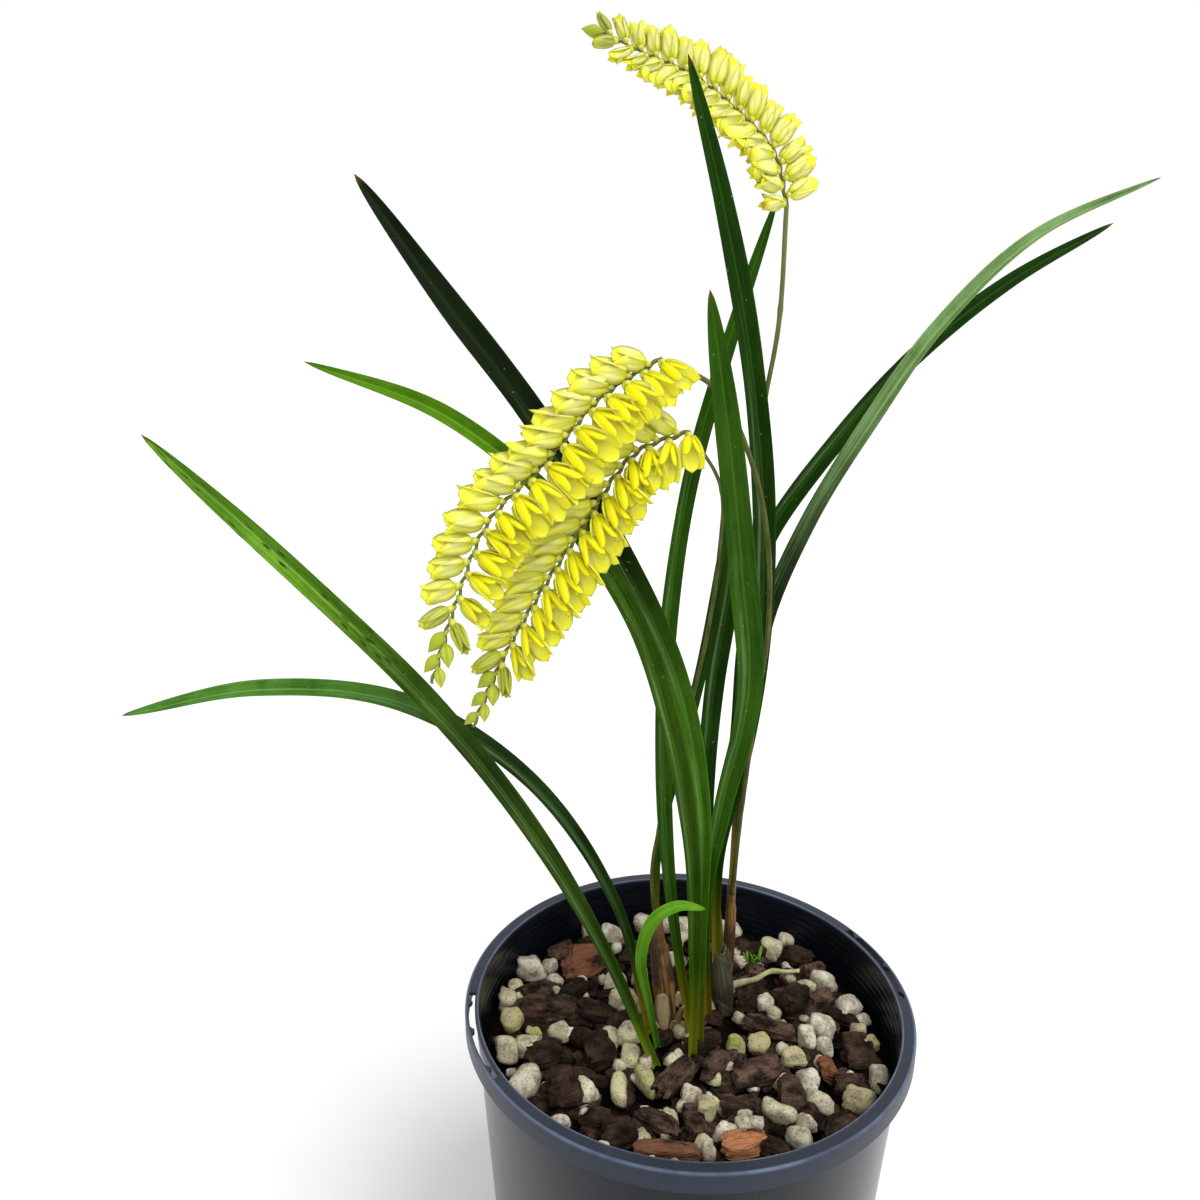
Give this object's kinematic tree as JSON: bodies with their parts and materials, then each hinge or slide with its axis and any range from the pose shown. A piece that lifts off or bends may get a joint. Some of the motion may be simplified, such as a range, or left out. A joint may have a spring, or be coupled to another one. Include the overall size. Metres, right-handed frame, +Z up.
{
  "type": "potted chain orchid",
  "caption": "Orchid with long arching strap leaves and hanging chains of small yellow flowers, growing in bark and pumice in a round plastic nursery pot.",
  "frame": {"origin": "centre of the underside of the pot's floor", "axes": "+Z up the pot's axis, -Y towards the front, the side the flower chains hang to, +X to the right when seen from the front"},
  "size_m": [0.2751, 0.125, 0.3708],
  "materials": {
    "pot_plastic": "charcoal moulded plastic, satin",
    "mix_dark": "dark damp composted bark",
    "bark_brown": "rough chipped bark",
    "pumice_pale": "pale rough pumice",
    "leaf_green": null,
    "young_green": null,
    "stem_olive": "thin living stalk, olive brown",
    "flower_yellow": null,
    "sheath_brown": "dry papery sheath, orange brown",
    "bulb_green": "pseudobulb skin under a papery grey-green coat",
    "root_pale": "pale aerial root, matt"
  },
  "bodies": {
    "root": {"pot": "pot_plastic", "potting_mix": "mix_dark", "leaf_long_left": "leaf_green", "leaf_low_left": "leaf_green", "leaf_dark_left": "leaf_green", "leaf_arching_left": "leaf_green", "leaf_tallest": "leaf_green", "leaf_broad_front": "leaf_green", "leaf_back": "leaf_green", "leaf_inner": "leaf_green", "leaf_inner_slim": "leaf_green", "leaf_right_outer": "leaf_green", "leaf_right_inner": "leaf_green", "leaf_young": "young_green", "flower_stem_low": "stem_olive", "flower_stem_middle": "stem_olive", "flower_stem_high": "stem_olive", "raceme_low": "flower_yellow", "raceme_middle": "flower_yellow", "raceme_high": "flower_yellow", "pseudobulb_left": "sheath_brown", "pseudobulb_right": "bulb_green", "sheath_right": "sheath_brown", "papery_scale": "sheath_brown", "aerial_root": "root_pale", "bark_chip_01": "bark_brown", "bark_chip_02": "bark_brown", "bark_chip_03": "bark_brown", "bark_chip_04": "bark_brown", "bark_chip_05": "bark_brown", "bark_chip_06": "bark_brown", "bark_chip_07": "bark_brown", "bark_chip_08": "bark_brown", "bark_chip_09": "bark_brown", "bark_chip_10": "bark_brown", "bark_chip_11": "bark_brown", "bark_chip_12": "bark_brown", "bark_chip_13": "bark_brown", "bark_chip_14": "bark_brown", "bark_chip_15": "bark_brown", "bark_chip_16": "bark_brown", "bark_chip_17": "bark_brown", "pumice_01": "pumice_pale", "pumice_02": "pumice_pale", "pumice_03": "pumice_pale", "pumice_04": "pumice_pale", "pumice_05": "pumice_pale", "pumice_06": "pumice_pale", "pumice_07": "pumice_pale", "pumice_08": "pumice_pale", "pumice_09": "pumice_pale", "pumice_10": "pumice_pale", "pumice_11": "pumice_pale", "pumice_12": "pumice_pale", "pumice_13": "pumice_pale", "pumice_14": "pumice_pale", "pumice_15": "pumice_pale", "pumice_16": "pumice_pale"}
  },
  "joints": []
}
